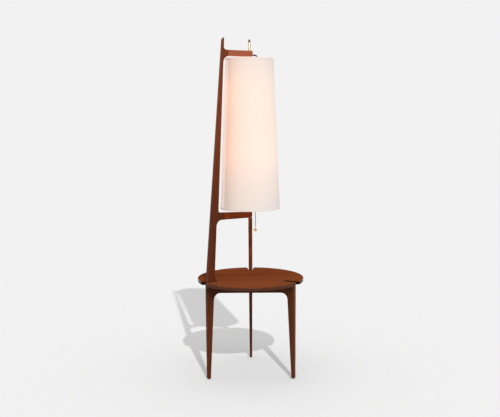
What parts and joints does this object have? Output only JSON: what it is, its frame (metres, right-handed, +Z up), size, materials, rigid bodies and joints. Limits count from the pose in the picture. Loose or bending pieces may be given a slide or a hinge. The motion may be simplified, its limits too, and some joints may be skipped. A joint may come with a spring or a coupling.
{
  "type": "floor lamp with table",
  "caption": "Floor lamp with a round wooden table on three plank legs; one leg runs up as a leaning post and holds a tall tapered fabric shade on two arms.",
  "frame": {"origin": "on the floor under the centre of the round table, which is also the lamp's axis", "axes": "+Z up along the lamp's axis, front towards -Y, tall post at the front left (-X, -Y), rear leg on +Y"},
  "size_m": [0.4566, 0.4556, 1.4333],
  "materials": {
    "walnut": "satin lacquer",
    "dowel_wood": "plain",
    "tip_wood": "polished",
    "brass": "polished",
    "steel": "zinc plated",
    "glide": "matt",
    "black_bush": "matt",
    "black_lead": "satin",
    "insulator": "gloss",
    "bulb_glass": "frosted",
    "linen": "fine weave",
    "liner": "matt"
  },
  "bodies": {
    "frame": {"tall_post": "walnut", "right_leg": "walnut", "rear_leg": "walnut", "rear_strut": "walnut", "lower_arm": "walnut", "upper_arm": "walnut", "tabletop": "walnut", "front_rail": "walnut", "right_rail": "walnut", "left_rail": "walnut", "rail_dowels": "dowel_wood", "arm_dowels": "dowel_wood", "strut_dowels": "dowel_wood", "top_screws": "steel", "foot_glides": "glide", "cord_inlet": "black_bush", "lead_bush": "black_bush", "lamp_lead": "black_lead", "lamp_rod": "steel", "rod_washers": "brass", "rod_nuts": "brass", "cluster_body": "brass", "cluster_cap": "brass", "switch_nozzle": "brass", "upper_socket_shell": "brass", "upper_socket_core": "insulator", "lower_socket_shell": "brass", "lower_socket_core": "insulator"},
    "shade": {"shade_fabric": "linen", "shade_liner": "liner", "shade_top_hem": "linen", "shade_bottom_hem": "linen", "shade_spider": "steel", "shade_bottom_ring": "steel"},
    "finial": {"finial_body": "brass", "finial_tip": "tip_wood"},
    "upper_bulb": {"upper_bulb_glass": "bulb_glass", "upper_bulb_cap": "steel"},
    "lower_bulb": {"lower_bulb_glass": "bulb_glass", "lower_bulb_cap": "steel"},
    "switch_rod": {"switch_pull": "brass"},
    "chain": {"pull_chain": "brass", "chain_ball": "brass"}
  },
  "joints": [
    {"name": "shade_turn", "type": "hinge", "parent": "frame", "child": "shade", "pos_m": [0, 0, 1.35], "axis": [0, 0, 1], "range_deg": [-45, 45]},
    {"name": "finial_turn", "type": "hinge", "parent": "frame", "child": "finial", "pos_m": [0, 0, 1.39], "axis": [0, 0, 1], "continuous": true},
    {"name": "upper_bulb_turn", "type": "hinge", "parent": "frame", "child": "upper_bulb", "pos_m": [-0.04, 0, 1.12], "axis": [0, 0, 1], "continuous": true},
    {"name": "lower_bulb_turn", "type": "hinge", "parent": "frame", "child": "lower_bulb", "pos_m": [-0.014, 0, 1.02], "axis": [0, 0, 1], "continuous": true},
    {"name": "chain_pull", "type": "slide", "parent": "frame", "child": "switch_rod", "axis": [0, 0, -1], "range_m": [0, 0.012], "stiffness_N_per_m": 150, "springref_m": -0.004},
    {"name": "chain_swing", "type": "hinge", "parent": "switch_rod", "child": "chain", "pos_m": [0.022, 0, 1.03], "axis": [0, 1, 0], "range_deg": [-8, 1]}
  ]
}
